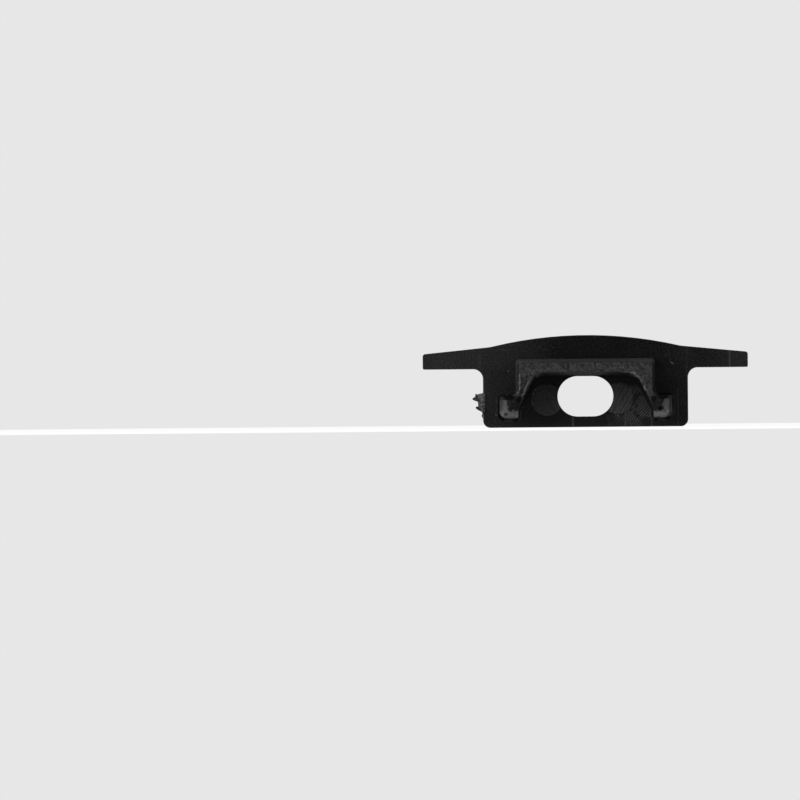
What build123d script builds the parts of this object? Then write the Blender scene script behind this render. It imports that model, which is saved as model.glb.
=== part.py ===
from build123d import *
import os
from math import radians, tan

# Profile end cap: a one-piece moulding that closes the cut end of a recessed channel.
# +Z is up through the arch, +Y points out of the channel's end and X runs across it.
# The origin is at mid-width, on the inner face, level with the undersides of the wings.
# Lengths are in millimetres and angles in degrees.

os.makedirs("parts", exist_ok=True)

# Flange: the arched plate and its two wings, which hide the sawn end of the channel.
cap_width = 24.5  # over the wings, at the inner face
flange_depth = 5.95  # from the inner face to the outer end
flange_side_draft = 1.5  # each wing tip draws in towards the outer end
arch_height = 2.5  # crown of the arch above the wings' undersides
arch_span = 14.34  # between the feet of the arch
arch_foot_height = 1.65  # top of the plate at the feet
arch_blend_radius = 3.0  # hollow that leads each wing into the arch
wing_tip_height = 1.15
plan_corner_radius = 1.05  # corners of the outer end, seen from above
flange_top_edge_radius = 0.2
flange_bottom_edge_radius = 0.1

# End wall: the block below the flange that stands against the channel's end.
wall_width = 15.44
wall_drop = 4.43  # bottom of the wall below the wings' undersides
wall_thickness = 2.05
wall_bottom_radius = 0.55  # lower corners, seen along the channel
wall_rim_radius = 0.38  # round the outer face
wall_root_radius = 0.74  # hollow between the wall and the flange

# Cable hole: an obround straight through the end wall.
hole_length = 4.22
hole_height = 3.04
hole_floor = 0.8  # wall left below the hole

# Prongs: two fingers that push into the channel's side grooves.
prong_inset = 1.235  # from the side of the wall to the outer flank of its prong
prong_lift = 0.71  # from the bottom of the wall to the underside of a prong
prong_width = 1.39
prong_height = 1.65
prong_length = 4.95
prong_outer_edge_radius = 0.5  # lower edge, along the flank
prong_inner_edge_radius = 0.12  # lower edge, along the inner side
prong_flank_lead = 0.8  # how far the flank curves in at the tip
prong_flank_lead_length = 2.6
prong_belly_lead = 0.5  # how far the underside slopes up at the tip
prong_belly_lead_length = 1.5
prong_top_lead = 0.2  # how far the top slopes down at the tip
prong_top_lead_length = 1.1
prong_tip_radius = 0.28
prong_root_radius = 0.3

# Clip: a flat bar on two splayed legs, one piece with the prongs.
# Its widths and heights are those at the inner face; every side is drafted from there.
clip_length = 3.44
clip_draft = 4.2
clip_rise = 0.72  # top of the bar above the wings' undersides
bar_height = 1.27
bar_shoulder_radius = 0.27
leg_overhang = 0.165  # outer side of a leg, out over the inner side of its prong
leg_spread = 1.475  # from the knee of a leg to the inner side of its prong
leg_foot_lift = 0.15  # foot of a leg above the underside of its prong
leg_knee_radius = 0.9  # between the underside of the bar and a leg
leg_ankle_radius = 0.55  # where a leg turns out on to its prong
leg_web_radius = 0.3  # between the end of a leg and its prong
leg_seat = 0.03  # how far a leg runs into its prong

# Ejector marks: two round pads, a hair proud of the inner face and cut by the cable hole.
# Their places are measured from the two ends of the hole.
ejector_radius = 1.2
ejector_height = 0.04
ejector_left = (-0.78, -0.24)
ejector_right = (0.33, -0.18)

# Gate: the torn stub of the runner, on the side of the end wall at the inner face.
# Its ragged outline is given as reach past the wall and drop below the wings' undersides.
gate_thickness = 0.46
gate_proud = 0.1  # how far it stands out of the inner face
gate_smear = 0.15  # how far it is wiped in over the inner face
gate_top = (0, 1.78)
gate_bottom = (0, 3.3)
gate_tears = [(0.38, 1.88), (0.81, 2.26), (0.6, 2.41), (0.42, 2.4), (0.35, 2.81), (0.56, 2.86), (0.4, 3.06)]

# Places that follow from the sizes above.
half_width = cap_width / 2
outer_half_width = half_width - flange_depth * tan(radians(flange_side_draft))
half_wall = wall_width / 2
hole_drop = wall_drop - hole_floor - hole_height / 2
prong_outer = half_wall - prong_inset
prong_inner = prong_outer - prong_width
prong_bottom = wall_drop - prong_lift
prong_top = prong_bottom - prong_height
clip_half_width = prong_inner + leg_overhang
knee_half_width = prong_inner - leg_spread
bar_underside = bar_height - clip_rise
foot_drop = prong_bottom - leg_foot_lift
ankle_drop = prong_top + leg_seat
leg_tail = clip_half_width + leg_ankle_radius + leg_seat
tip_radius = min(prong_tip_radius, (prong_width - prong_flank_lead) / 1.6)
tiny = 0.001  # slack when faces and edges are picked by their place


def runs_in_depth(edge):
    direction = edge.tangent_at(0.5)
    return abs(direction.Y) > abs(direction.X) + abs(direction.Z)


# Flange: the front profile, cut to its plan of drafted sides and rounded outer corners.
with BuildPart() as flange:
    with BuildSketch(Plane.XZ) as flange_profile:
        with BuildLine():
            arch = ThreePointArc(
                (-arch_span / 2, arch_foot_height),
                (0, arch_height),
                (arch_span / 2, arch_foot_height),
            )
            Polyline(
                arch @ 1,
                (half_width, wing_tip_height),
                (half_width, 0),
                (-half_width, 0),
                (-half_width, wing_tip_height),
                arch @ 0,
            )
        make_face()
        arch_feet = flange_profile.vertices().filter_by(lambda v: abs(v.X) < half_width - tiny)
        fillet(arch_feet, arch_blend_radius)
    extrude(amount=-flange_depth)
    with BuildSketch(Plane.XY) as flange_plan:
        with BuildLine():
            Polyline(
                (-half_width, 0),
                (half_width, 0),
                (outer_half_width, flange_depth),
                (-outer_half_width, flange_depth),
                close=True,
            )
        make_face()
        fillet(flange_plan.vertices().group_by(Axis.Y)[-1], plan_corner_radius)
    extrude(amount=arch_height, mode=Mode.INTERSECT)
    upright_faces = flange.faces().filter_by(lambda f: abs(f.normal_at().Z) < tiny)
    outside_faces = upright_faces.filter_by(lambda f: f.center().Y > tiny)
    rim = outside_faces.edges().filter_by(Axis.Z, reverse=True).filter_by(lambda e: e.center().Y > tiny)
    fillet(rim.filter_by(lambda e: e.center().Z > wing_tip_height / 2), flange_top_edge_radius)
    underside_rim = flange.faces().sort_by(Axis.Z)[0].edges().filter_by(lambda e: e.center().Y > tiny)
    fillet(underside_rim, flange_bottom_edge_radius)

# End wall: a block with rounded lower corners and a rounded rim to its outer face.
with BuildPart() as end_wall:
    with BuildSketch(Plane.XZ) as wall_profile:
        with Locations((0, -wall_drop / 2)):
            Rectangle(wall_width, wall_drop)
        fillet(wall_profile.vertices().group_by(Axis.Y)[0], wall_bottom_radius)
    extrude(amount=-wall_thickness)
    outer_face = end_wall.faces().sort_by(Axis.Y)[-1]
    fillet(outer_face.edges().filter_by(lambda e: e.center().Z < -tiny), wall_rim_radius)

# Clip: the bar and legs in one hat-shaped profile, drafted and then rounded.
with BuildPart() as clip:
    with BuildSketch(Plane.XZ):
        with BuildLine():
            Polyline(
                (0, clip_rise),
                (clip_half_width, clip_rise),
                (clip_half_width, -ankle_drop),
                (leg_tail, -ankle_drop),
                (leg_tail, -foot_drop),
                (prong_inner + leg_seat, -foot_drop),
                (knee_half_width, -bar_underside),
                (0, -bar_underside),
                close=True,
            )
        make_face()
        mirror(about=Plane.YZ)
    extrude(amount=clip_length)
    clip_sides = clip.faces().filter_by(Axis.Y, reverse=True)
    drafted_sides = clip_sides.filter_by(
        lambda f: abs(f.center().X) < clip_half_width + tiny or f.center().Z < -foot_drop + tiny
    )
    draft(drafted_sides, Plane.XZ, clip_draft)
    fillet(clip.edges().filter_by(runs_in_depth).group_by(Axis.Z)[-1], bar_shoulder_radius)
    knees = clip.edges().filter_by(runs_in_depth).filter_by(lambda e: -bar_height < e.center().Z < 0)
    fillet(knees, leg_knee_radius)
    ankles = clip.edges().filter_by(runs_in_depth).filter_by_position(
        Axis.Z, -ankle_drop - tiny, -ankle_drop + tiny
    )
    fillet(ankles.filter_by(lambda e: abs(e.center().X) < clip_half_width), leg_ankle_radius)

# Prong: a bar with rounded lower edges, whose flank and underside lead in to a blunt tip.
with BuildPart() as prong:
    with BuildSketch(Plane.XZ) as prong_section:
        with Locations((prong_outer - prong_width / 2, -prong_top - prong_height / 2)):
            Rectangle(prong_width, prong_height)
        fillet(prong_section.vertices().group_by(Axis.Y)[0].sort_by(Axis.X)[0], prong_inner_edge_radius)
        fillet(prong_section.vertices().group_by(Axis.Y)[0].sort_by(Axis.X)[-1], prong_outer_edge_radius)
    extrude(amount=prong_length)
    with BuildSketch(Plane.XY) as prong_plan:
        with BuildLine():
            flank = TangentArc(
                (prong_outer, prong_flank_lead_length - prong_length),
                (prong_outer - prong_flank_lead, -prong_length),
                tangent=(0, -1),
            )
            Polyline(flank @ 1, (prong_inner, -prong_length), (prong_inner, 0), (prong_outer, 0), flank @ 0)
        make_face()
        fillet(prong_plan.vertices().group_by(Axis.Y)[0], tip_radius)
    extrude(amount=wall_drop, both=True, mode=Mode.INTERSECT)
    with BuildSketch(Plane.YZ):
        with BuildLine():
            Polyline(
                (prong_belly_lead_length - prong_length, -prong_bottom),
                (-prong_length, prong_belly_lead - prong_bottom),
                (-prong_length, -prong_bottom),
                close=True,
            )
        make_face()
        with BuildLine():
            Polyline(
                (prong_top_lead_length - prong_length, -prong_top),
                (-prong_length, -prong_top - prong_top_lead),
                (-prong_length, -prong_top),
                close=True,
            )
        make_face()
    extrude(amount=half_wall, mode=Mode.SUBTRACT)

# The whole cap: the pieces of the moulding joined into one solid.
with BuildPart() as end_cap:
    add(flange.part)
    add(end_wall.part)
    seam = end_cap.edges().filter_by_position(Axis.Z, -tiny, tiny).filter_by(
        lambda e: abs(e.center().X) < half_wall + tiny and tiny < e.center().Y < wall_thickness + tiny
    )
    fillet(seam, wall_root_radius)
    add(clip.part)
    add(prong.part)
    mirror(prong.part, about=Plane.YZ)

    # Webs between the legs' ends and the prongs, then the roots of the prongs.
    leg_ends = end_cap.edges().filter_by_position(Axis.Y, -clip_length - tiny, -clip_length + tiny)
    fillet(leg_ends.filter_by(lambda e: abs(abs(e.center().X) - prong_inner) < tiny), leg_web_radius)
    roots = end_cap.edges().filter_by_position(Axis.Y, -tiny, tiny).filter_by(
        lambda e: prong_inner - tiny < abs(e.center().X) < prong_outer + tiny
        and -prong_bottom - tiny < e.center().Z < -prong_top - tiny
    )
    fillet(roots, prong_root_radius)

    # Ejector pads, and the cable hole through them, the wall and the hollow at its root.
    with BuildSketch(Plane.XZ):
        with Locations(
            (ejector_left[0] - hole_length / 2, ejector_left[1] - hole_drop),
            (ejector_right[0] + hole_length / 2, ejector_right[1] - hole_drop),
        ):
            Circle(ejector_radius)
    extrude(amount=ejector_height)
    with BuildSketch(Plane.XZ.offset(ejector_height)):
        with Locations((0, -hole_drop)):
            SlotOverall(hole_length, hole_height)
    extrude(amount=-ejector_height - wall_thickness - wall_root_radius, mode=Mode.SUBTRACT)

    # Torn gate stub on the left side of the wall.
    with BuildSketch(Plane.XZ.offset(gate_proud)):
        with BuildLine():
            Polyline(
                *[(-half_wall - reach, -drop) for reach, drop in [gate_top, *gate_tears, gate_bottom]],
                (gate_smear - half_wall, -gate_bottom[1]),
                (gate_smear - half_wall, -gate_top[1]),
                close=True,
            )
        make_face()
    extrude(amount=-gate_thickness)

end_cap.part.label = "end_cap"
export_step(end_cap.part, "parts/end_cap.step")
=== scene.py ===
# Profile end cap in black moulded plastic: its finish, marks, flash, light and camera.
import math

import bmesh
import bpy
import numpy as np
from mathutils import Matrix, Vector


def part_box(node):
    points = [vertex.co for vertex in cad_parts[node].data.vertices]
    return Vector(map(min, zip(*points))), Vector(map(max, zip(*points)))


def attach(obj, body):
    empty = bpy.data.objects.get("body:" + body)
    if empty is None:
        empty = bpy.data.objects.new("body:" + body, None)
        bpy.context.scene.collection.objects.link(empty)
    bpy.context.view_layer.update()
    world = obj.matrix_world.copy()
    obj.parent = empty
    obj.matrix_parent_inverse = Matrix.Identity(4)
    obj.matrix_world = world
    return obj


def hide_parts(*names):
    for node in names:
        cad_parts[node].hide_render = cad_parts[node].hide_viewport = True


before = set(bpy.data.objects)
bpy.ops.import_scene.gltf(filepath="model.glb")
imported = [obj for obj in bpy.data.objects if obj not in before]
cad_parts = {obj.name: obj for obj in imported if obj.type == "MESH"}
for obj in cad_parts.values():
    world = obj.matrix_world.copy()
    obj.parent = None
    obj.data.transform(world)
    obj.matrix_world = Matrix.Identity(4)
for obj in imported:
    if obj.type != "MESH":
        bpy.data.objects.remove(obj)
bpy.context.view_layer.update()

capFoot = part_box("end_cap")[0][2]
mm = 0.001

# Places on the cap, in millimetres, that its pieces and finishes share.
cap = {
    "wallHalf": 7.72,
    "wallBottom": capFoot / mm,
    "clipEndY": -3.44,
    "prongInner": 5.095,
    "prongTop": -2.07,
    "padRadius": 1.2,
    "padRim": (1.1, 1.18),
    "padFace": -0.04,
    "padLeft": (-2.89, -2.35),
    "padRight": (2.44, -2.29),
}


class Wire:
    # an output socket; the operators on it add Math nodes
    def __init__(self, graph, socket):
        self.graph = graph
        self.socket = socket

    def output(self, name):
        # another output of the same node
        return Wire(self.graph, self.socket.node.outputs[name])

    def math(self, operation, *others, first=None):
        sources = [self if first is None else first, *others]
        return self.graph.node("Math", {"operation": operation}, dict(enumerate(sources)))

    def __add__(self, other):
        return self.math("ADD", other)

    def __radd__(self, other):
        return self.math("ADD", other)

    def __sub__(self, other):
        return self.math("SUBTRACT", other)

    def __rsub__(self, other):
        return self.math("SUBTRACT", self, first=other)

    def __mul__(self, other):
        return self.math("MULTIPLY", other)

    def __rmul__(self, other):
        return self.math("MULTIPLY", other)

    def __truediv__(self, other):
        return self.math("DIVIDE", other)

    def __rtruediv__(self, other):
        return self.math("DIVIDE", self, first=other)

    def __neg__(self):
        return self.math("MULTIPLY", -1)

    def __abs__(self):
        return self.math("ABSOLUTE")

    def sine(self):
        return self.math("SINE")

    def hypotenuse(self, other):
        return (self * self + other * other).math("SQRT")

    def larger(self, other):
        return self.math("MAXIMUM", other)

    def smaller(self, other):
        return self.math("MINIMUM", other)

    def rise(self, start, end, low=0.0, high=1.0):
        # low below start, high above end, smooth between
        return self.graph.node(
            "MapRange",
            {"interpolation_type": "SMOOTHSTEP"},
            {"Value": self, "From Min": start, "From Max": end, "To Min": low, "To Max": high},
        )

    def within(self, low, high, soft):
        # 1 between low and high, with soft edges
        return self.rise(low, low + soft) * (1 - self.rise(high - soft, high))

    def near(self, place, width):
        # 1 on the place, falling to 0 at width from it
        return 1 - abs(self - place).rise(0, width)


class Graph:
    # a node tree, cleared and built by one method
    def __init__(self, tree):
        self.tree = tree
        tree.nodes.clear()

    def node(self, kind, settings=None, sockets=None, output=0):
        made = self.tree.nodes.new("ShaderNode" + kind)
        for key, value in (settings or {}).items():
            setattr(made, key, value)
        for key, value in (sockets or {}).items():
            if isinstance(value, Wire):
                self.tree.links.new(value.socket, made.inputs[key])
            else:
                made.inputs[key].default_value = value
        return Wire(self, made.outputs[output]) if len(made.outputs) else None


class Finish(Graph):
    # a material whose patterns are worked out in millimetres from the object's own coordinates
    def __init__(self, name):
        self.material = bpy.data.materials.new(name)
        self.material.use_nodes = True
        super().__init__(self.material.node_tree)
        self.place = self.mapped(self.node("TexCoord", output="Object"), scale=(1 / mm,) * 3)
        split = self.node("SeparateXYZ", None, {0: self.place})
        self.x, self.y, self.z = split, split.output(1), split.output(2)

    def mapped(self, vector, turn=(0, 0, 0), scale=(1, 1, 1)):
        turn = [math.radians(angle) for angle in turn]
        sockets = {"Vector": vector, "Rotation": turn, "Scale": scale}
        return self.node("Mapping", {"vector_type": "POINT"}, sockets)

    def noise(self, perMillimetre, detail=3.0, roughness=0.55, scale=(1, 1, 1), turn=(0, 0, 0)):
        # turned first, then stretched
        place = self.mapped(self.mapped(self.place, turn=turn), scale=scale)
        sockets = {"Vector": place, "Scale": perMillimetre, "Detail": detail, "Roughness": roughness}
        return self.node("TexNoise", {"noise_dimensions": "3D"}, sockets)

    def cells(self, perMillimetre):
        # distance from the nearest of the points strewn through the part
        return self.node("TexVoronoi", None, {"Vector": self.place, "Scale": perMillimetre})

    def sides(self, left, right, soft=0.1):
        # one value left of the middle and another right of it
        return self.x.rise(-soft, soft, left, right)

    def upward(self):
        # how far the surface faces up, from -1 to 1
        return self.node("SeparateXYZ", None, {0: self.node("NewGeometry", output="Normal")}, 2)

    def mixed(self, factor, first, second):
        # a colour between two colours
        return self.node("Mix", {"data_type": "RGBA"}, {0: factor, 6: first, 7: second}, 2)

    def shade(self, colour, roughness, height=None, bumpDepth=0.01, specular=0.25):
        # ends the material: a height of 1 stands the bump depth out, in millimetres
        sockets = {"Base Color": colour, "Roughness": roughness, "Specular IOR Level": specular}
        if height is not None:
            bump = {"Strength": 1.0, "Distance": bumpDepth * mm, "Height": height}
            sockets["Normal"] = self.node("Bump", None, bump)
        self.node("OutputMaterial", None, {0: self.node("BsdfPrincipled", None, sockets)})
        return self.material


def area(across, along, spans):
    # 1 inside two spans, each a low, a high and a soft edge
    return across.within(*spans[0]) * along.within(*spans[1])


def reach(across, along, centre):
    # distance from a centre
    return (across - centre[0]).hypotenuse(along - centre[1])


def scratch(across, along, start, end, width):
    # 1 on the straight line from start to end, falling to 0 at width from it
    dx, dz = end[0] - start[0], end[1] - start[1]
    length = math.hypot(dx, dz)
    dx, dz = dx / length, dz / length
    held = ((across - start[0]) * dx + (along - start[1]) * dz).larger(0).smaller(length)
    gap = (across - start[0] - held * dx).hypotenuse(along - start[1] - held * dz)
    return 1 - gap.rise(0, width)


def grey(level):
    # a grey with a trace of blue
    return (level, level, level * 1.03, 1)


# Marks and areas of the inner face, in millimetres across and up.
faceMarks = {
    # place across, lowest, highest, half width, strength
    "insertLines": [
        (-7.93, 0.0, 1.2, 0.09, 0.45),
        (-0.96, -4.43, -3.62, 0.11, 1.3),
        (3.01, -4.43, -3.35, 0.11, 1.6),
        (4.97, -4.43, -3.6, 0.1, 0.8),
        (6.95, -4.43, -1.5, 0.1, 0.45),
        (7.65, -2.0, 1.6, 0.1, 0.25),
        (10.89, 0.0, 1.3, 0.12, 0.9),
    ],
    # start, end, half width, strength
    "scratches": [
        ((1.5, -3.5), (1.85, -4.2), 0.07, 0.5),
        ((-6.3, 1.5), (-5.9, 1.35), 0.07, 0.4),
        ((5.9, 0.9), (6.3, 1.0), 0.07, 0.4),
    ],
    "cutterCentre": (9.1, -7.8),
    "cutterPitch": 0.17,
    # low, high and soft edge, across and then up
    "cutterPatch": ((2.9, 5.4, 0.3), (-4.7, -1.2, 0.4)),
    "cutterTail": ((1.5, 3.3, 0.4), (-4.8, -3.4, 0.3)),
    "shadowBands": ((5.3, 6.55, 0.2), (-2.3, -1.82, 0.2)),
    # low, high and soft edge
    "paintedShadeMiddle": (-4, 8, 3),
    "paintedShadeLeft": (-7.7, -4.8, 0.8),
    # start and end of a smooth change
    "cutterGapAcross": (3.9, 4.5),
    "cutterGapUp": (-3.9, -3.5),
    "cutterFoot": (-4.1, -3.4),
    "leftSheen": (-11, -2),
    "rightSheen": (9, 12),
    "paintedShadeTop": (-0.5, 0.5),
    "paintedShadeFoot": (-3.9, -2.6),
}


def faceFinish(spec):
    # ground mould face: lines = sum of strength x nearness to each line; cut = rings x patch;
    # dust = small cells; a painted sheen towards both ends; painted shade over the middle above the clip,
    # low on the face and left of the clip; painted shadow in bands over the prongs
    finish = Finish("faceFinish")
    x, z = finish.x, finish.z
    cloud = finish.noise(0.45, 3).rise(0.35, 0.65)
    grit = finish.noise(8, 2).rise(0.35, 0.65)
    dust = 1 - finish.cells(1.6).rise(0.03, 0.09)
    lines = 0
    for across, low, high, width, strength in spec["insertLines"]:
        lines = x.near(across, width) * z.within(low - 0.1, high, 0.1) * strength + lines
    for start, stop, width, strength in spec["scratches"]:
        lines = scratch(x, z, start, stop, width) * strength + lines
    turns = reach(x, z, spec["cutterCentre"]) * (2 * math.pi / spec["cutterPitch"])
    patch = area(x, z, spec["cutterPatch"]).larger(area(x, z, spec["cutterTail"]) * 0.5)
    patch = patch * (1 - 0.85 * x.rise(*spec["cutterGapAcross"]) * (1 - z.rise(*spec["cutterGapUp"])))
    cut = turns.sine().rise(-0.4, 0.8) * patch * finish.noise(1.2, 2).rise(0.3, 0.5)
    cut = cut * (1 - lines.rise(0, 0.6)) * z.rise(*spec["cutterFoot"], 0.45, 1)
    # painted sheen: the colour is lifted towards the left and right ends of the face
    left = 1 - x.rise(*spec["leftSheen"])
    right = x.rise(*spec["rightSheen"])
    # painted shade: darker colour and weaker specular over the middle above the clip, low on the face and
    # left of the clip
    above = z.rise(*spec["paintedShadeTop"])
    paintedShade = (0.7 * x.within(*spec["paintedShadeMiddle"]) * above).larger(1 - z.rise(*spec["paintedShadeFoot"]))
    paintedShade = paintedShade.larger(0.25 * x.within(*spec["paintedShadeLeft"]) * (1 - above))
    # painted shadow: darker colour and weaker specular in bands on the face just over the prongs
    paintedShadow = finish.sides(0.58, 0.75) * area(abs(x), z, spec["shadowBands"])
    tone = 0.12 * cloud + 0.4 * grit + 0.45 * left + 0.42 * right - 0.25 * paintedShade
    colour = finish.mixed(tone * (1 - 0.05 * patch) * (1 - paintedShadow), grey(0.0015), grey(0.024))
    colour = finish.mixed(0.6 * lines + 0.6 * dust, colour, grey(0.055))
    colour = finish.mixed(1.5 * cut, colour, grey(0.07))
    roughness = 0.29 + 0.08 * grit + 0.05 * left + 0.05 * patch
    height = 0.4 * grit + 1.2 * lines + 1.8 * cut + dust
    return finish.shade(colour, roughness, height, 0.01, 0.3 * (1 - 0.25 * paintedShade) * (1 - paintedShadow))


def padFinish(spec):
    # ejector pins' ends: noise drawn out along the grinding, falling on the left, rising on the right,
    # and dark at the rim
    finish = Finish("padFinish")
    right = finish.sides(0, 1)
    falling = finish.noise(1.0, 2, scale=(0.5, 1, 6), turn=(0, -45, 0))
    rising = finish.noise(1.0, 2, scale=(0.5, 1, 5), turn=(0, 60, 0))
    streaks = (falling * (1 - right) + rising * right).rise(0.42, 0.62)
    grit = finish.noise(4.5, 3).rise(0.35, 0.65)
    fromLeft, fromRight = (reach(finish.x, finish.z, spec[pad]) for pad in ("padLeft", "padRight"))
    rim = fromLeft.smaller(fromRight).rise(*spec["padRim"])
    tone = (0.6 + 0.9 * streaks + 0.25 * grit + 0.2 * right) * (1 - 0.8 * rim)
    colour = finish.mixed(tone, grey(0.003), grey(0.03))
    return finish.shade(colour, 0.42 + 0.08 * streaks, 1.6 * streaks + 0.3 * grit, 0.014, 0.35)


# Where the left leg's end grows darker, in millimetres: start and end of a smooth change.
endPlaces = {
    "shadeAcross": (-4.4, -4),
    "shadeUp": (-0.8, -0.4),
}


def endFinish(spec):
    # sparked and matt ends of the bar and legs: one coarse even noise, darker on the left leg
    finish = Finish("endFinish")
    grain = finish.noise(6.5, 4, 0.65).rise(0.33, 0.67)
    shaded = 0.4 * (1 - finish.x.rise(*spec["shadeAcross"])) * (1 - finish.z.rise(*spec["shadeUp"]))
    colour = finish.mixed(grain * (1 - shaded), grey(0.003), grey(0.048))
    return finish.shade(colour, 0.46 + 0.12 * grain, grain, 0.014, 0.35 * (1 - shaded))


# Places on the sides of the clip, the wall and the hole, in millimetres.
drawnPlaces = {
    # start and end of a smooth change
    "topLightAndDustUp": (0.3, 0.45),
    "litFlankAcross": (-5, -4.7),
    "litFlankUp": (-2.2, -1.9),
    "clipDepth": (-0.1, 0),
    "bellyAcross": (3.2, 3.8),
    "recessShadeAcross": (4.6, 4.8),
    "recessShadeDepth": (-1.6, -0.3),
    "cornerDepth": (-1.2, -0.4),
    # low, high and soft edge
    "insideShadeAcross": (3.7, 5.14, 0.1),
    "cornerAcross": (3.15, 3.8, 0.15),
}


def drawnFinish(spec):
    # sides that slid out of the mould: noise drawn out along the draw, grain, dust with painted light from
    # above on what faces up, painted light down the clip's left side, painted shade inside the legs and at
    # the back of the recess under the bar, pale under the bar and round the corners between it and the legs
    finish = Finish("drawnFinish")
    across, y, z = abs(finish.x), finish.y, finish.z
    streaks = finish.noise(1.0, 3, 0.6, (6, 0.3, 6)).rise(0.35, 0.65)
    grain = finish.noise(8, 3).rise(0.33, 0.67)
    # painted light from above, with dust in the grain: paler on what faces up
    topLightAndDust = z.rise(*spec["topLightAndDustUp"])
    # painted light: paler on the clip's left side and the sides left of it, where light falls from the left
    litFlank = (1 - finish.x.rise(*spec["litFlankAcross"])) * z.rise(*spec["litFlankUp"])
    clip = 1 - y.rise(*spec["clipDepth"])
    below = clip * (1 - topLightAndDust)
    belly = clip * (1 - across.rise(*spec["bellyAcross"]))
    # painted shade: darker, with weaker specular, at the back of the recess under the bar and inside the
    # legs
    recessShade = (1 - across.rise(*spec["recessShadeAcross"])) * y.rise(*spec["recessShadeDepth"]) * below
    inside = across.within(*spec["insideShadeAcross"]) * below
    corner = across.within(*spec["cornerAcross"]) * below * y.rise(*spec["cornerDepth"], 1, 0.15)
    tone = 0.45 * streaks + 0.35 * grain + 2.2 * topLightAndDust + 1.2 * litFlank
    colour = finish.mixed(tone * (1 - 0.8 * recessShade) * (1 - 0.8 * inside), grey(0.003), grey(0.028))
    pale = (0.6 * topLightAndDust * grain).larger(belly * (1 - topLightAndDust) * (0.12 + 0.38 * streaks + 0.12 * grain))
    pale = pale.larger(corner * (0.5 + 0.5 * grain))
    colour = finish.mixed(pale, colour, grey(0.06))
    specular = 0.22 * (1 - (0.85 * belly).larger(0.7 * recessShade).larger(0.8 * inside))
    height = (0.5 * streaks + 0.7 * grain) * (1 - 0.7 * inside)
    return finish.shade(colour, 0.5 + 0.1 * grain + 0.2 * belly, height, 0.01, specular)


# Places on the prongs' roots, in millimetres from the middle: start and end of a smooth change.
rootPlaces = {
    "shadeAcross": (6.3, 6.5),
    "outerAcross": (6.52, 6.68),
}


def rootFinish(spec):
    # hollows at the prongs' roots, where little light gets: near black, greyer in patches by a noise,
    # and speckled by another on their outer sides
    finish = Finish("rootFinish")
    across = abs(finish.x)
    patches = finish.noise(1.3, 3, 0.6).rise(0.42, 0.62)
    shaded = across.rise(*spec["shadeAcross"]) * finish.sides(0.9, 0.2)
    outer = across.rise(*spec["outerAcross"]) * finish.noise(4, 2).rise(0.3, 0.6, 0.3, 0.8)
    lit = (patches * (1 - shaded)).larger(outer)
    return finish.shade(finish.mixed(lit, grey(0.002), grey(0.018)), 0.6, specular=0.02 + 0.14 * lit)


# Marks and areas of the flange's underside, in millimetres across and along its depth.
undersideMarks = {
    # start, end, half width
    "scratch": ((1.4, 2.55), (-0.35, 3.7), 0.09),
    "clusterCentre": (9.4, 4),
    "hatchPerMillimetre": 13,
    # low, high and soft edge, across and then along the depth
    "hatch": ((8.8, 11.7, 0.6), (0.5, 2.7, 0.3)),
    # start and end of a smooth change
    "clusterReach": (0.4, 1.5),
    "endsAcross": (8, 12.2),
}


def undersideFinish(spec):
    # underside of the flange: clouds, a scratch bent by a noise, blotchy pale ends, one with a sine's
    # hatching, specks from cells and a noise, and a cluster of them
    finish = Finish("undersideFinish")
    x, y = finish.x, finish.y
    cloud = finish.noise(0.5, 4, 0.6).rise(0.35, 0.65)
    grain = finish.noise(9, 2)
    specks = (1 - finish.cells(2.2).rise(0.02, 0.12)) * finish.noise(0.7, 2).rise(0.42, 0.55)
    around = 1 - reach(x, y, spec["clusterCentre"]).rise(*spec["clusterReach"])
    cluster = finish.noise(4, 2).rise(0.62, 0.7) * around
    bent = y + 0.25 * finish.noise(1.2, 1)
    cut = scratch(x, bent, *spec["scratch"]) * (0.6 + 0.4 * cloud)
    ends = abs(x).rise(*spec["endsAcross"]) * (0.5 + 0.5 * cloud)
    hatch = (spec["hatchPerMillimetre"] * x).sine().rise(-0.5, 0.8) * area(x, y, spec["hatch"])
    tone = 0.3 * cloud + 0.15 * grain + 0.8 * ends + 0.3 * hatch
    colour = finish.mixed(tone, grey(0.002), grey(0.05))
    colour = finish.mixed((0.5 * specks + cut).larger(0.4 * cluster), colour, grey(0.3))
    return finish.shade(colour, 0.4 + 0.12 * grain, 0.3 * grain + cut, 0.005, 0.15 + 0.25 * ends)


# Places on the foot of the wall, in millimetres.
footPlaces = {
    # start and end of a smooth change
    "nicksDepth": (0.12, 0.4),
    # low, high and soft edge
    "endsAcross": (6.7, 7.5, 0.3),
}


def footFinish(spec):
    # foot of the wall: a blotchy noise, pale bands near its ends, nicks along its inner edge, flecks
    # from cells and a noise
    finish = Finish("footFinish")
    blotch = finish.noise(0.9, 4, 0.65).rise(0.42, 0.62)
    grain = finish.noise(7, 2).rise(0.35, 0.65)
    nicks = finish.noise(3, 3).rise(0.48, 0.56) * (1 - finish.y.rise(*spec["nicksDepth"]))
    flecks = (1 - finish.cells(2.6).rise(0.04, 0.14)) * finish.noise(0.8, 2).rise(0.45, 0.55)
    ends = abs(finish.x).within(*spec["endsAcross"])
    tone = 0.1 + 0.4 * blotch + 0.25 * grain + 0.6 * ends
    colour = finish.mixed(tone, grey(0.003), grey(0.05))
    colour = finish.mixed(0.35 * nicks + 0.6 * flecks, colour, grey(0.2))
    return finish.shade(colour, 0.42 + 0.1 * grain, 0.6 * blotch + 0.4 * grain + nicks, 0.012, 0.3)


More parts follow.
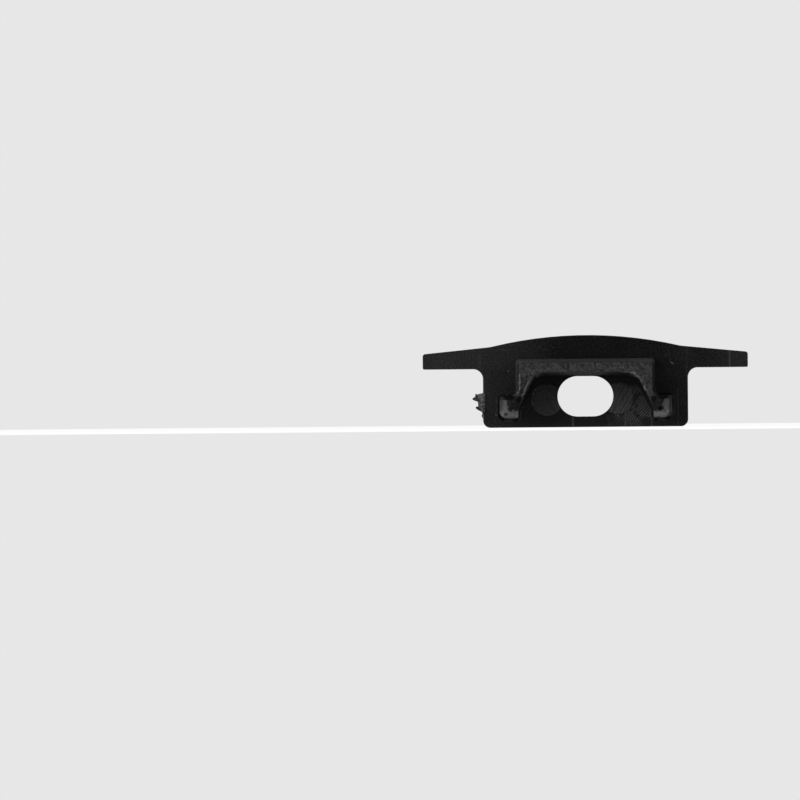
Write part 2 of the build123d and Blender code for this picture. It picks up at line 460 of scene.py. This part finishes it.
def showFinish():
    # what stays in sight: clouds, fine grain and thin handling marks along it
    finish = Finish("showFinish")
    cloud = finish.noise(0.5, 3)
    grain = finish.noise(10, 2)
    hairs = finish.noise(1.0, 3, 0.5, (0.6, 6, 6)).rise(0.62, 0.75)
    tone = 0.5 * cloud + 0.25 * grain + 0.35 * hairs
    colour = finish.mixed(tone, grey(0.006), grey(0.02))
    return finish.shade(colour, 0.36 + 0.14 * grain, 0.5 * grain + 0.2 * hairs, 0.005, 0.45)


# Places on the rounded edges, in millimetres.
edgePlaces = {
    # start and end of a smooth change
    "litRimAcross": (-7.72, -7.6),
    "litRimUp": (-0.7, -0.3),
    "browUp": (0.35, 0.42),
    "browDepth": (-3.3, -3.2),
    "prongShadeAcross": (5.2, 5.4),
    "prongShadeDepth": (-4, -3.4),
    # low, high and soft edge
    "prongShadeUp": (-2.35, -1.9, 0.05),
    "rootShadeAcross": (4.9, 6.9, 0.1),
    "rootShadeDepth": (-0.45, 0.1, 0.05),
    "rootShadeUp": (-4.1, -1.9, 0.05),
}


def edgeFinish(spec):
    # rounded edges: noise, a painted highlight down the left of the wall, dark along the upper edge of the
    # clip's end, and painted shade, near black, on the prongs' upper edges and round their roots
    finish = Finish("edgeFinish")
    across, y, z = abs(finish.x), finish.y, finish.z
    wear = finish.noise(3, 3)
    # painted highlight: paler rounded edges down the left of the wall, where light falls from the left
    rim = (1 - finish.x.rise(*spec["litRimAcross"])) * (1 - z.rise(*spec["litRimUp"]))
    brow = z.rise(*spec["browUp"]) * (1 - y.rise(*spec["browDepth"]))
    # painted shade: near black, with little specular, on the prongs' upper edges and round their roots
    prong = across.rise(*spec["prongShadeAcross"]) * z.within(*spec["prongShadeUp"])
    prong = prong * y.rise(*spec["prongShadeDepth"], 1, 0.5)
    rootShade = across.within(*spec["rootShadeAcross"]) * y.within(*spec["rootShadeDepth"]) * z.within(*spec["rootShadeUp"])
    shut = (0.6 * brow).larger(prong).larger(0.97 * rootShade)
    colour = finish.mixed(wear * (1 - shut), grey(0.004), grey(0.03))
    # painted highlight down the left of the wall
    colour = finish.mixed(rim * (0.4 + 0.6 * wear), colour, grey(0.2))
    return finish.shade(colour, 0.36 + 0.15 * wear, wear, 0.004, 0.4 * (1 - shut))


# Where the gate's spikes end, in millimetres: start and end of a smooth change.
tornPlaces = {
    "upperAcross": (-8.5, -8.3),
    "lowerAcross": (-8.25, -8.1),
    "lowerUp": (-2.8, -2.7),
}


def tornFinish(spec):
    # torn plastic, whitened by the strain: a fibrous noise, dark at the ends of the spikes
    finish = Finish("tornFinish")
    fibre = finish.noise(3.5, 3, 0.65)
    lower = (1 - finish.x.rise(*spec["lowerAcross"])) * (1 - finish.z.rise(*spec["lowerUp"]))
    spent = (1 - finish.x.rise(*spec["upperAcross"])).larger(lower)
    tone = fibre.rise(0.36, 0.64) * (1 - spent)
    colour = finish.mixed(tone, grey(0.01), grey(0.13))
    return finish.shade(colour, 0.5 + 0.2 * fibre, fibre, 0.008, 0.3 * (1 - spent))


def flashFinish():
    # thin flash, dust and chips: a noise between dark and pale grey
    finish = Finish("flashFinish")
    fleck = finish.noise(6, 2).rise(0.35, 0.65)
    colour = finish.mixed(fleck, grey(0.04), grey(0.12))
    return finish.shade(colour, 0.5, specular=0.4)


# Places on the prongs, in millimetres.
tipPlaces = {
    # pits on the blunt ends: across, up, radius
    "pits": [
        (-6.03, -3.4, 0.17),
        (-4.98, -2.32, 0.2),
        (-5.75, -2.95, 0.2),
        (5.55, -3.03, 0.3),
        (5.1, -2.35, 0.2),
    ],
    # the ragged outer corner: its centre across and up, and how much nearer the right one is
    "corner": (6.0, -3.15),
    "cornerNearer": 0.23,
    # start and end of a smooth change
    "cornerReach": (0.46, 0.56),
    "tipDepth": (-3, -2.2),
    "outerAcross": (5.87, 6.05),
    "underUp": (-3.3, -3.1),
    "shadedTopAcross": (5.35, 5.55),
    "shadedTopDepth": (-4.2, -3.6),
    "shadedTopUp": (-2.4, -2.3),
    "chafedDepth": (-4.5, -3.3),
    "chafedUp": (-3.6, -2.7),
}


def tipFinish(spec):
    # prongs: pale where the tip is far out or low down, both limits shifted by a noise, dark in the pits
    # and past the ragged corner, painted shade, near black, on their upper faces; the shafts streaked along
    # the draw, most where they face down, which is painted lighter
    finish = Finish("tipFinish")
    across, y, z = abs(finish.x), finish.y, finish.z
    right = finish.sides(0, 1)
    grain = finish.noise(5, 3).rise(0.35, 0.65)
    fibre = finish.noise(1.8, 3, 0.6)
    shift = 0.9 * finish.noise(1.6, 3, 0.6) + 0.6 * finish.noise(4.5, 2) - 0.75
    tip = 1 - y.rise(*spec["tipDepth"])
    outer = (across + shift + 0.1 * right).rise(*spec["outerAcross"])
    under = 1 - (z + shift).rise(*spec["underUp"])
    # painted shade: near black, with little specular, on the prongs' upper faces
    shadedTop = z.rise(*spec["shadedTopUp"]) * across.rise(*spec["shadedTopAcross"]) * y.rise(*spec["shadedTopDepth"], 1, 0.75)
    pits = 0
    for *centre, radius in spec["pits"]:
        gap = reach(finish.x, z, centre) + 0.6 * shift
        pits = (1 - gap.rise(0.3 * radius, radius)).larger(pits)
    pastX = (across - spec["corner"][0] + spec["cornerNearer"] * right).larger(0)
    pastZ = (spec["corner"][1] - z).larger(0)
    ragged = (pastX.hypotenuse(pastZ) + 0.4 * shift).rise(*spec["cornerReach"])
    chafed = outer.larger(under) * (0.6 + 0.4 * fibre.rise(0.35, 0.6)) * (1 - 0.8 * pits) * (1 - ragged)
    chafed = chafed * (0.75 + 0.25 * right)
    chafed = chafed * y.rise(*spec["chafedDepth"], 1, 0.4) * z.rise(*spec["chafedUp"], 1.25, 0.85)
    streaks = finish.noise(1, 2, scale=(5, 0.5, 5)).rise(0.45, 0.6) * (1 - tip)
    # painted light: the shafts are lighter where they face down, most along the streaks of the draw
    litUnderneath = (1 - finish.upward().rise(-0.9, -0.5)) * (1 - tip)
    drawn = finish.noise(1.2, 4, 0.65, (5, 1, 5)).rise(0.36, 0.66)
    tone = 0.03 + 0.05 * grain + 0.05 * streaks + 0.85 * tip * chafed - 0.05 * tip * pits
    tone = tone + litUnderneath * (0.04 + 0.3 * drawn * (0.3 + 0.7 * grain))
    colour = finish.mixed(tone * (1 - shadedTop), grey(0.003), grey(0.19))
    polished = 0.03 + 0.27 * under * (1 - ragged) * (1 - 0.8 * pits)
    specular = 0.3 * (1 - 0.9 * shadedTop) * (1 - tip) + tip * polished
    return finish.shade(colour, 0.44 + 0.12 * grain, 0.7 * grain + 1.2 * fibre - pits, 0.02, specular)


finishes = {
    "show": showFinish(),
    "edge": edgeFinish(edgePlaces),
    "face": faceFinish(faceMarks),
    "pad": padFinish(cap),
    "end": endFinish(endPlaces),
    "drawn": drawnFinish(drawnPlaces),
    "underside": undersideFinish(undersideMarks),
    "foot": footFinish(footPlaces),
    "torn": tornFinish(tornPlaces),
    "tip": tipFinish(tipPlaces),
    "root": rootFinish(rootPlaces),
    "flash": flashFinish(),
}
finishOrder = list(finishes)
print("finishes", len(finishes))


def ripple(points, size, seed, waves=28):
    # a sum of plane waves in random directions, each about a size long, with a mean square of 1
    random = np.random.default_rng(seed)
    heading = random.normal(size=(waves, 3))
    heading /= np.linalg.norm(heading, axis=1, keepdims=True)
    heading *= 2 * math.pi / (size * random.uniform(0.6, 1.7, (waves, 1)))
    phase = random.uniform(0, 2 * math.pi, waves)
    return np.sin(points @ heading.T + phase).sum(axis=1) / math.sqrt(waves / 2)


# The moulding's skin: places and lengths in millimetres, apart from the weld in metres.
moulding = {
    "weld": 1e-7,
    "flatDegrees": 0.4,
    "crispDegrees": 40,
    "flatWithin": 0.02,
    # least part of a normal along the way that a face is said to face
    "facingChannel": 0.97,
    "facingDown": 0.9,
    "edgeSteps": 3,
    "edgeRadius": 0.04,
    # edges round the cable hole, rounded less
    "holeRadius": 0.015,
    "holeHalf": 2.2,
    "holeDepth": -0.06,
    "holeTop": -0.5,
    "holeFoot": -3.7,
    "prongFace": -0.002,
    "rootEnd": -0.31,
    "tipStart": -3.6,
    "gateReach": 0.02,
    "gateInside": 0.17,
    "gateDepth": -0.01,
    "gateTop": -1.7,
    "gateFoot": -3.4,
    "fineEdge": 0.07,
    # rounds of smoothing, depth and size of the ripple, seed
    "gateSkin": (4, 0.014, 0.4, 5),
    "tipSkin": (4, 0.007, 0.55, 9),
    "flatWeight": 100,
}


def finishOf(centre, normal, spec):
    # the finish of a face, from its place and the way it faces
    x, y, z = centre
    flat = spec["flatWithin"]
    towardsChannel = normal[1] < -spec["facingChannel"]
    downwards = normal[2] < -spec["facingDown"]
    prong = abs(x) > cap["prongInner"] - flat and z < cap["prongTop"] + flat
    if prong and y < spec["prongFace"]:
        return "tip" if y < spec["rootEnd"] else "root"
    if towardsChannel and y > -flat:
        return "face"
    if towardsChannel and y > cap["padFace"] - flat:
        return "pad"
    if towardsChannel and abs(y - cap["clipEndY"]) < flat:
        return "end"
    if downwards and z < cap["wallBottom"] + flat:
        return "foot"
    if y < 0 or z < -flat:
        return "drawn"
    return "underside" if downwards else "show"


def isGate(centre, spec):
    # whether a face lies on the torn gate, beside the wall or proud of the inner face
    x, y, z = centre
    beside = x < -cap["wallHalf"] - spec["gateReach"]
    over = x < spec["gateInside"] - cap["wallHalf"] and y < spec["gateDepth"]
    return spec["gateFoot"] < z < spec["gateTop"] and (beside or over)


def roundingOf(edge, spec):
    # how far an outward edge is rounded, in millimetres
    x, y, z = sum(np.array(vert.co) for vert in edge.verts) / 2 / mm
    hole = abs(x) < spec["holeHalf"] and y > spec["holeDepth"] and spec["holeFoot"] < z < spec["holeTop"]
    return spec["holeRadius"] if hole else spec["edgeRadius"]


def quartered(face, fresh):
    # cuts a triangle through the new corners on its sides, so that only triangles are left
    rim = list(face.verts)
    count = sum(vert in fresh for vert in rim)
    if not count:
        return
    while rim[0] not in fresh or (count == 2 and rim[2] not in fresh):
        rim = rim[1:] + rim[:1]
    cuts = [(0, 2)]
    if count == 3:
        cuts += [(2, 4), (4, 0)]
    if count == 2:
        spans = {(0, 3): rim[0].co - rim[3].co, (2, 4): rim[2].co - rim[4].co}
        cuts.append(min(spans, key=lambda pair: spans[pair].length))
    for start, end in cuts:
        part = bmesh.utils.face_split(face, rim[start], rim[end])[0]
        face = max(face, part, key=lambda piece: len(piece.verts))


def refined(shell, wanted, longest, rounds=10):
    # splits the wanted faces until no edge of them is longer than this, and returns them
    tag = shell.faces.layers.int.get("fine") or shell.faces.layers.int.new("fine")
    for face in shell.faces:
        face[tag] = int(wanted(face))
    bmesh.ops.triangulate(shell, faces=[face for face in shell.faces if face[tag]])
    for step in range(rounds):
        picked = [face for face in shell.faces if face[tag]]
        edges = [edge for edge in shell.edges if edge.calc_length() > longest * mm]
        edges = [edge for edge in edges if any(face[tag] for face in edge.link_faces)]
        if not edges:
            break
        fresh = {bmesh.utils.edge_split(edge, edge.verts[0], 0.5)[1] for edge in edges}
        for face in picked:
            quartered(face, fresh)
    return [face for face in shell.faces if face[tag]]


def roughen(shell, faces, smoothing, depth, size, seed):
    # softens the inside of a patch and moves it along its normals by a coarse and a fine ripple
    inside = {vert for face in faces for vert in face.verts}
    kept = set(faces)
    inside = [vert for vert in inside if all(face in kept for face in vert.link_faces)]
    axes = {"use_axis_x": True, "use_axis_y": True, "use_axis_z": True}
    for step in range(smoothing):
        bmesh.ops.smooth_vert(shell, verts=inside, factor=0.5, **axes)
    shell.normal_update()
    places = np.array([vert.co for vert in inside]) / mm
    push = ripple(places, size, seed) + 0.6 * ripple(places, size / 2.5, seed + 1)
    for vert, amount in zip(inside, push * depth * mm):
        vert.co += vert.normal * amount


def refineMoulding(spec):
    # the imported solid, welded, with each flat area one face and its crisp edges rounded
    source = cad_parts["end_cap"]
    mesh = source.data.copy()
    mesh.materials.clear()
    for name in finishOrder:
        mesh.materials.append(finishes[name])
    body = bpy.data.objects.new("moulding", mesh)
    bpy.context.scene.collection.objects.link(body)
    shell = bmesh.new()
    shell.from_mesh(mesh)
    bmesh.ops.remove_doubles(shell, verts=shell.verts, dist=spec["weld"])
    bmesh.ops.dissolve_limit(
        shell,
        angle_limit=math.radians(spec["flatDegrees"]),
        verts=shell.verts,
        edges=shell.edges,
    )
    torn = finishOrder.index("torn")
    for face in shell.faces:
        centre = np.array(face.calc_center_median()) / mm
        finish = "torn" if isGate(centre, spec) else finishOf(centre, face.normal, spec)
        face.material_index = finishOrder.index(finish)
    everything = shell.verts[:] + shell.edges[:] + shell.faces[:]
    cut = (0, spec["tipStart"] * mm, 0)
    bmesh.ops.bisect_plane(shell, geom=everything, plane_co=cut, plane_no=(0, 1, 0))
    weight = shell.edges.layers.float.new("bevel_weight_edge")
    for edge in shell.edges:
        rough = any(face.material_index == torn for face in edge.link_faces)
        tipped = min(vert.co.y for vert in edge.verts) / mm < spec["tipStart"]
        crisp = edge.calc_face_angle(0) > math.radians(spec["crispDegrees"])
        edge.smooth = rough or tipped or not crisp
        if not edge.smooth and edge.is_convex:
            edge[weight] = roundingOf(edge, spec) / spec["edgeRadius"]
            edge.smooth = True
    gate = refined(shell, lambda face: face.material_index == torn, spec["fineEdge"])
    roughen(shell, gate, *spec["gateSkin"])
    tipStart = spec["tipStart"] * mm
    tips = refined(shell, lambda face: face.calc_center_median().y < tipStart, spec["fineEdge"])
    roughen(shell, tips, *spec["tipSkin"])
    shell.to_mesh(mesh)
    shell.free()
    mesh.shade_smooth()
    rounding = body.modifiers.new("edges", "BEVEL")
    rounding.limit_method = "WEIGHT"
    rounding.width = spec["edgeRadius"] * mm
    rounding.segments = spec["edgeSteps"]
    rounding.use_clamp_overlap = False
    rounding.miter_outer = "MITER_ARC"
    rounding.material = finishOrder.index("edge")
    flats = body.modifiers.new("flats", "WEIGHTED_NORMAL")
    flats.weight = spec["flatWeight"]
    flats.keep_sharp = True
    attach(body, "root")
    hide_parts("end_cap")
    print("moulding", len(mesh.polygons), "faces")


refineMoulding(moulding)


def beadPoints(path, radii, seed, steps=48, sides=10, lumps=0.35, size=0.3):
    # rings of points along a path, of the given radii, made lumpy by the ripple
    path = np.array(path, float)
    run = np.concatenate([[0], np.cumsum(np.linalg.norm(np.diff(path, axis=0), axis=1))])
    at = np.linspace(0, run[-1], steps)
    centre = np.stack([np.interp(at, run, column) for column in path.T], axis=1)
    radius = np.interp(at, np.linspace(0, run[-1], len(radii)), radii)
    ahead = np.gradient(centre, axis=0)
    ahead /= np.linalg.norm(ahead, axis=1, keepdims=True)
    side = np.cross(ahead, (0, 1, 0))
    side /= np.linalg.norm(side, axis=1, keepdims=True)
    rise = np.cross(ahead, side)
    turn = np.linspace(0, 2 * math.pi, sides, endpoint=False)
    rim = np.cos(turn)[None, :, None] * side[:, None, :] + np.sin(turn)[None, :, None] * rise[:, None, :]
    around = centre[:, None, :] + radius[:, None, None] * rim
    swell = lumps * ripple(around.reshape(-1, 3), size, seed).reshape(steps, sides, 1)
    return around + radius[:, None, None] * rim * swell


def lumpPoints(centre, half, turn, seed, steps=9, sides=12, lumps=0.25, size=1.2):
    # rings of points over an ellipsoid turned about Y, made lumpy by the ripple
    lift = np.linspace(-0.5, 0.5, steps) * math.pi
    swing = np.linspace(0, 2 * math.pi, sides, endpoint=False)
    unit = np.stack(
        [
            np.cos(lift)[:, None] * np.cos(swing),
            np.cos(lift)[:, None] * np.sin(swing),
            np.sin(lift)[:, None] + 0 * swing,
        ],
        axis=2,
    )
    unit *= 1 + lumps * ripple(unit.reshape(-1, 3) + seed, size, seed).reshape(steps, sides, 1)
    spread = unit * half
    angle = math.radians(turn)
    x = spread[..., 0] * math.cos(angle) - spread[..., 2] * math.sin(angle)
    z = spread[..., 0] * math.sin(angle) + spread[..., 2] * math.cos(angle)
    return np.stack([x, spread[..., 1], z], axis=2) + centre


def addPiece(name, grids, finish, weld=1e-9):
    # one mesh of tubes, each from a table of rings, in millimetres, and closed to a point at both ends
    points, quads, count = [], [], 0
    for grid in grids:
        tips = [np.tile(ring.mean(axis=0), (1, len(ring), 1)) for ring in (grid[0], grid[-1])]
        grid = np.concatenate([tips[0], grid, tips[1]])
        rows, columns = grid.shape[:2]
        number = count + np.arange(rows * columns).reshape(rows, columns)
        ahead = np.roll(number, -1, axis=1)
        quads.append(np.stack([number[:-1], ahead[:-1], ahead[1:], number[1:]], axis=2).reshape(-1, 4))
        points.append(grid.reshape(-1, 3))
        count += rows * columns
    points, quads = np.concatenate(points) * mm, np.concatenate(quads)
    mesh = bpy.data.meshes.new(name)
    mesh.vertices.add(len(points))
    mesh.vertices.foreach_set("co", points.ravel())
    mesh.loops.add(quads.size)
    mesh.loops.foreach_set("vertex_index", quads.ravel())
    mesh.polygons.add(len(quads))
    mesh.polygons.foreach_set("loop_start", np.arange(0, quads.size, 4))
    mesh.update(calc_edges=True)
    shell = bmesh.new()
    shell.from_mesh(mesh)
    bmesh.ops.remove_doubles(shell, verts=shell.verts, dist=weld)
    bmesh.ops.recalc_face_normals(shell, faces=shell.faces)
    shell.to_mesh(mesh)
    shell.free()
    mesh.shade_smooth()
    mesh.materials.append(finishes[finish])
    piece = bpy.data.objects.new(name, mesh)
    bpy.context.scene.collection.objects.link(piece)
    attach(piece, "root")
    print(name, len(mesh.polygons), "faces")


# Flash along three stretches of the clip's end edges: across, up, then radii along the stretch.
legFlash = {
    "seed": 30,
    "depth": cap["clipEndY"] + 0.03,
    "stretches": [
        (
            [(2.7, -0.31), (3.3, -0.33), (3.7, -0.42), (3.96, -0.64), (4.42, -1.42), (4.76, -2.1)],
            [0.01, 0.02, 0.045, 0.07, 0.08, 0.09, 0.075, 0.03, 0.12, 0.11, 0.02],
        ),
        (
            [(-4.95, -0.25), (-4.95, -0.9), (-4.95, -1.5), (-5.1, -1.82), (-5.3, -2.02)],
            [0.02, 0.07, 0.095, 0.09, 0.07, 0.05, 0.02],
        ),
        (
            [(-4.17, -0.7), (-4.4, -1.2), (-4.76, -1.95), (-4.86, -2.15)],
            [0.02, 0.045, 0.05, 0.07, 0.065, 0.02],
        ),
    ],
}


def addLegFlash(spec):
    # each stretch is a lumpy bead
    grids = []
    for order, (places, radii) in enumerate(spec["stretches"]):
        path = [(x, spec["depth"], z) for x, z in places]
        grids.append(beadPoints(path, radii, spec["seed"] + order))
    addPiece("legFlash", grids, "flash")


addLegFlash(legFlash)

# Burrs round the ejector pads: centre, start and end angle in degrees, radii along the arc.
padBurr = {
    "seed": 40,
    "depth": cap["padFace"] + 0.01,
    "arcSteps": 24,
    "sides": 8,
    "arcs": [
        (cap["padLeft"], 95, 200, [0.005, 0.025, 0.035, 0.03, 0.012]),
        (cap["padRight"], 28, 46, [0.01, 0.05, 0.02]),
        (cap["padRight"], 48, 85, [0.006, 0.015, 0.02, 0.008]),
    ],
}


def addPadBurr(spec):
    # each burr is a lumpy bead on an arc
    grids = []
    for order, (centre, start, stop, radii) in enumerate(spec["arcs"]):
        turn = np.radians(np.linspace(start, stop, spec["arcSteps"]))
        x = centre[0] + cap["padRadius"] * np.cos(turn)
        z = centre[1] + cap["padRadius"] * np.sin(turn)
        path = np.stack([x, np.full(len(turn), spec["depth"]), z], axis=1)
        grids.append(beadPoints(path, radii, spec["seed"] + order, sides=spec["sides"]))
    addPiece("padBurr", grids, "flash")


addPadBurr(padBurr)

# Torn spikes of the gate, and its smear down the side of the wall: places, then radii along them.
gateBurr = {
    "spikeSeed": 50,
    "smearSeed": 60,
    # rings, sides, lumpiness
    "spikeShape": (20, 12, 0.45),
    "spikes": [
        ([(-8.1, 0.12, -2.05), (-8.35, 0.1, -2.2), (-8.52, 0.08, -2.27)], [0.13, 0.1, 0.05, 0.012]),
        ([(-7.95, 0.12, -2.85), (-8.12, 0.1, -2.88), (-8.26, 0.1, -2.93)], [0.12, 0.09, 0.05, 0.012]),
        ([(-7.72, 0.1, -3.3), (-7.76, 0.08, -3.55), (-7.74, 0.08, -3.7)], [0.1, 0.08, 0.06, 0.015]),
        ([(-7.68, 0.0, -1.75), (-7.8, 0.02, -2.3), (-7.78, 0.02, -3.2)], [0.02, 0.09, 0.11, 0.05]),
    ],
    "smear": ([(-7.69, -0.005, -3.4), (-7.7, -0.005, -4.0)], [0.05, 0.035, 0.03, 0.012]),
}


def addGateBurr(spec):
    # spikes are short thick beads; the smear is a thin one
    grids = []
    for order, (path, radii) in enumerate(spec["spikes"]):
        grids.append(beadPoints(path, radii, spec["spikeSeed"] + order, *spec["spikeShape"]))
    addPiece("gateSpikes", grids, "torn")
    addPiece("gateSmear", [beadPoints(*spec["smear"], spec["smearSeed"])], "flash")


addGateBurr(gateBurr)

# Dust and small chips on the inner face, a pad and the end of the bar.
specks = {
    "seed": 70,
    # place, half sizes, turn in degrees
    "lumps": [
        ((-5.77, -0.01, -0.2), (0.06, 0.02, 0.05), 0),
        ((-6.75, -0.01, -3.45), (0.09, 0.025, 0.06), -35),
        ((-4.8, -0.01, -2.45), (0.06, 0.02, 0.04), 50),
        ((-4.79, -0.01, -2.9), (0.05, 0.02, 0.06), 10),
        ((-5.02, -0.01, -3.07), (0.05, 0.02, 0.04), 0),
        ((6.52, -0.01, 0.34), (0.13, 0.02, 0.045), -40),
        ((2.43, -0.01, -3.6), (0.06, 0.02, 0.05), 10),
        ((3.41, -0.04, -1.62), (0.1, 0.02, 0.045), -48),
        ((2.83, -3.44, -0.02), (0.06, 0.02, 0.07), 0),
        ((3.05, -3.44, 0.0), (0.05, 0.02, 0.05), 0),
    ],
}


def addSpecks(spec):
    # each speck is a flat lumpy ellipsoid
    grids = []
    for order, (place, half, turn) in enumerate(spec["lumps"]):
        grids.append(lumpPoints(place, half, turn, spec["seed"] + order))
    addPiece("specks", grids, "flash")


addSpecks(specks)

# Flash left along the foot of the wall, where the mould closed: start and end across, then radii.
wallFlash = {
    "seed": 80,
    "depth": 0.02,
    "height": cap["wallBottom"] + 0.025,
    # rings, sides
    "shape": (90, 8),
    "stretches": [
        ((-7.0, -4.2), [0.01, 0.02, 0.012, 0.03, 0.015, 0.02, 0.01]),
        ((-0.7, 2.3), [0.008, 0.02, 0.03, 0.012, 0.02, 0.01]),
        ((3.6, 7.0), [0.01, 0.03, 0.015, 0.02, 0.012, 0.025, 0.01]),
    ],
}


def addWallFlash(spec):
    # each stretch is a thin lumpy bead
    grids = []
    for order, (ends, radii) in enumerate(spec["stretches"]):
        path = [(x, spec["depth"], spec["height"]) for x in ends]
        grids.append(beadPoints(path, radii, spec["seed"] + order, *spec["shape"]))
    addPiece("wallFlash", grids, "flash")


addWallFlash(wallFlash)

# Light, floor and camera, in metres and watts.
studio = {
    "ambient": 0.25,
    # what is mirrored: brightness ahead of the cap and behind it, and where one turns into the other
    "roomAhead": 0.04,
    "roomBehind": 0.25,
    "roomTurn": (-0.15, 0.45),
    "lampDistance": 0.7,
    "lampSize": (0.5, 0.9),
    # degrees round the cap, degrees up, power
    "left": (-48, 8, 5.6),
    "right": (48, 8, 1.5),
    "above": (0, 62, 1.5),
    "floorRadius": 0.16,
    "floorSides": 96,
    "floorGlow": 0.82,
    "floorColour": 0.25,
    # depth over which the floor's glow starts to be mirrored
    "floorMirrored": (-0.007, -0.002),
    "lensMillimetres": 1000,
    "sensorMillimetres": 36,
    "clipStart": 0.01,
    "cameraPlace": (-13.98 * mm, -1.674, -2.27 * mm),
    "cameraDegrees": (90, 0.5, 0),
}


def addWorld(spec):
    # strength = camera ray or mirrored room + soft light; the room is near black ahead, grey behind
    world = bpy.data.worlds.new("studio")
    bpy.context.scene.world = world
    world.use_nodes = True
    graph = Graph(world.node_tree)
    path = graph.node("LightPath")
    heading = graph.node("SeparateXYZ", None, {0: graph.node("TexCoord", output="Generated")}, "Y")
    room = heading.rise(*spec["roomTurn"], spec["roomAhead"], spec["roomBehind"])
    mirrored = path.output("Is Glossy Ray").larger(path.output("Is Transmission Ray")) * room
    level = path.larger(mirrored) + path.output("Is Diffuse Ray") * spec["ambient"]
    graph.node("OutputWorld", None, {0: graph.node("Background", None, {"Strength": level})})


def addLamp(name, spec):
    # a tall soft box aimed at the cap, at an angle round it and a height above it
    turn, lift, power = spec[name]
    turn, lift = math.radians(turn), math.radians(lift)
    lamp = bpy.data.lights.new(name, "AREA")
    lamp.shape = "RECTANGLE"
    lamp.size, lamp.size_y = spec["lampSize"]
    lamp.energy = power
    holder = bpy.data.objects.new(name, lamp)
    bpy.context.scene.collection.objects.link(holder)
    away = (math.sin(turn) * math.cos(lift), -math.cos(turn) * math.cos(lift), math.sin(lift))
    holder.location = [spec["lampDistance"] * part for part in away]
    holder.rotation_mode = "QUATERNION"
    holder.rotation_quaternion = (-holder.location).to_track_quat("-Z", "Y")


def addFloor(spec):
    # glow = (camera ray or mirrored and far enough back) x level; clear from below
    turn = np.linspace(0, 2 * math.pi, spec["floorSides"], endpoint=False)
    ring = np.stack([np.cos(turn), np.sin(turn), 0 * turn], axis=1) * spec["floorRadius"]
    ring[:, 2] = capFoot
    mesh = bpy.data.meshes.new("floor")
    mesh.from_pydata(ring.tolist(), [], [list(range(len(ring)))])
    floor = bpy.data.objects.new("floor", mesh)
    bpy.context.scene.collection.objects.link(floor)
    material = bpy.data.materials.new("floor")
    material.use_nodes = True
    graph = Graph(material.node_tree)
    path = graph.node("LightPath")
    place = graph.node("SeparateXYZ", None, {0: graph.node("TexCoord", output="Object")}, "Y")
    behind = place.rise(*spec["floorMirrored"])
    seen = path.larger(path.output("Is Glossy Ray") * behind)
    paper = graph.node("BsdfDiffuse", None, {"Color": grey(spec["floorColour"])})
    glow = graph.node("Emission", None, {"Strength": seen * spec["floorGlow"]})
    both = graph.node("AddShader", None, {0: paper, 1: glow})
    below = graph.node("NewGeometry", output="Backfacing")
    chosen = graph.node("MixShader", None, {0: below, 1: both, 2: graph.node("BsdfTransparent")})
    graph.node("OutputMaterial", None, {0: chosen})
    mesh.materials.append(material)


def addCamera(spec):
    # far off with a long lens, so that nothing tapers
    data = bpy.data.cameras.new("camera")
    data.lens = spec["lensMillimetres"]
    data.sensor_width = spec["sensorMillimetres"]
    data.clip_start = spec["clipStart"]
    camera = bpy.data.objects.new("camera", data)
    bpy.context.scene.collection.objects.link(camera)
    camera.location = spec["cameraPlace"]
    camera.rotation_euler = [math.radians(angle) for angle in spec["cameraDegrees"]]
    bpy.context.scene.camera = camera


addWorld(studio)
addFloor(studio)
for side in ("left", "right", "above"):
    addLamp(side, studio)
addCamera(studio)
print("studio")
bpy.context.scene.view_settings.view_transform = "Standard"
